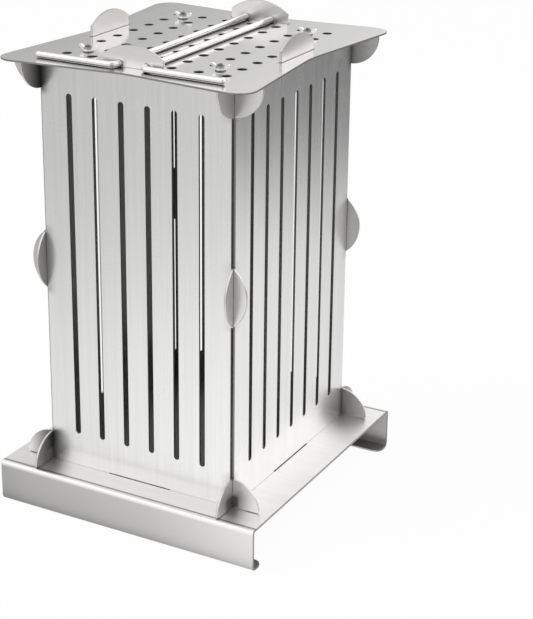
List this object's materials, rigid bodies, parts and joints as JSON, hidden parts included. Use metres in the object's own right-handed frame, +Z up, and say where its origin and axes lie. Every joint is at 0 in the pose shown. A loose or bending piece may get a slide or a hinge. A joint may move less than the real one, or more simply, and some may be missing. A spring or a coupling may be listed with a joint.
{
  "type": "kebab skewer box",
  "caption": "Upright slotted steel box on a folded tray, with a perforated lid locked by bent rods, for skewering meat and cutting it into even cubes.",
  "frame": {"origin": "on the floor, under the middle of the tray", "axes": "+X to the right along the front, +Y to the back, +Z up"},
  "size_m": [0.254, 0.264, 0.421],
  "materials": {
    "wall_steel": "brushed vertically",
    "lid_steel": "fine satin",
    "tray_steel": "fine satin",
    "rod_steel": "polished",
    "fastener_steel": "polished"
  },
  "bodies": {
    "tray": {"base_tray": "tray_steel"},
    "box": {"front_wall": "wall_steel", "rear_wall": "wall_steel", "left_wall": "wall_steel", "right_wall": "wall_steel", "lid_plate": "lid_steel", "guide_plate": "lid_steel", "front_left_screw": "fastener_steel", "front_left_spacer": "fastener_steel", "front_left_washer": "fastener_steel", "front_right_screw": "fastener_steel", "front_right_spacer": "fastener_steel", "front_right_washer": "fastener_steel", "rear_left_screw": "fastener_steel", "rear_left_spacer": "fastener_steel", "rear_left_washer": "fastener_steel", "rear_right_screw": "fastener_steel", "rear_right_spacer": "fastener_steel", "rear_right_washer": "fastener_steel"},
    "left_rod": {"left_rod_shank": "rod_steel"},
    "left_arm": {"left_rod_arm": "rod_steel"},
    "right_rod": {"right_rod_shank": "rod_steel"},
    "right_arm": {"right_rod_arm": "rod_steel"},
    "front_left_nut": {"front_left_wing_nut": "fastener_steel"},
    "front_right_nut": {"front_right_wing_nut": "fastener_steel"},
    "rear_left_nut": {"rear_left_wing_nut": "fastener_steel"},
    "rear_right_nut": {"rear_right_wing_nut": "fastener_steel"}
  },
  "joints": [
    {"name": "box_lift", "type": "slide", "parent": "tray", "child": "box", "axis": [0, 0, 1], "range_m": [0, 0.06]},
    {"name": "left_rod_pull", "type": "slide", "parent": "box", "child": "left_rod", "axis": [0, -1, 0], "range_m": [0, 0.222]},
    {"name": "left_arm_swing", "type": "hinge", "parent": "left_rod", "child": "left_arm", "pos_m": [-0.0125, -0.106, 0.4053], "axis": [0, 1, 0], "range_deg": [0, 90]},
    {"name": "right_rod_pull", "type": "slide", "parent": "box", "child": "right_rod", "axis": [0, -1, 0], "range_m": [0, 0.222]},
    {"name": "right_arm_swing", "type": "hinge", "parent": "right_rod", "child": "right_arm", "pos_m": [0.0125, -0.106, 0.4053], "axis": [0, -1, 0], "range_deg": [0, 90]},
    {"name": "front_left_nut_turn", "type": "hinge", "parent": "box", "child": "front_left_nut", "pos_m": [-0.0625, -0.075, 0.4033], "axis": [0, 0, 1], "continuous": true},
    {"name": "front_right_nut_turn", "type": "hinge", "parent": "box", "child": "front_right_nut", "pos_m": [0.0625, -0.075, 0.4033], "axis": [0, 0, 1], "continuous": true},
    {"name": "rear_left_nut_turn", "type": "hinge", "parent": "box", "child": "rear_left_nut", "pos_m": [-0.0625, 0.075, 0.4033], "axis": [0, 0, 1], "continuous": true},
    {"name": "rear_right_nut_turn", "type": "hinge", "parent": "box", "child": "rear_right_nut", "pos_m": [0.0625, 0.075, 0.4033], "axis": [0, 0, 1], "continuous": true}
  ]
}
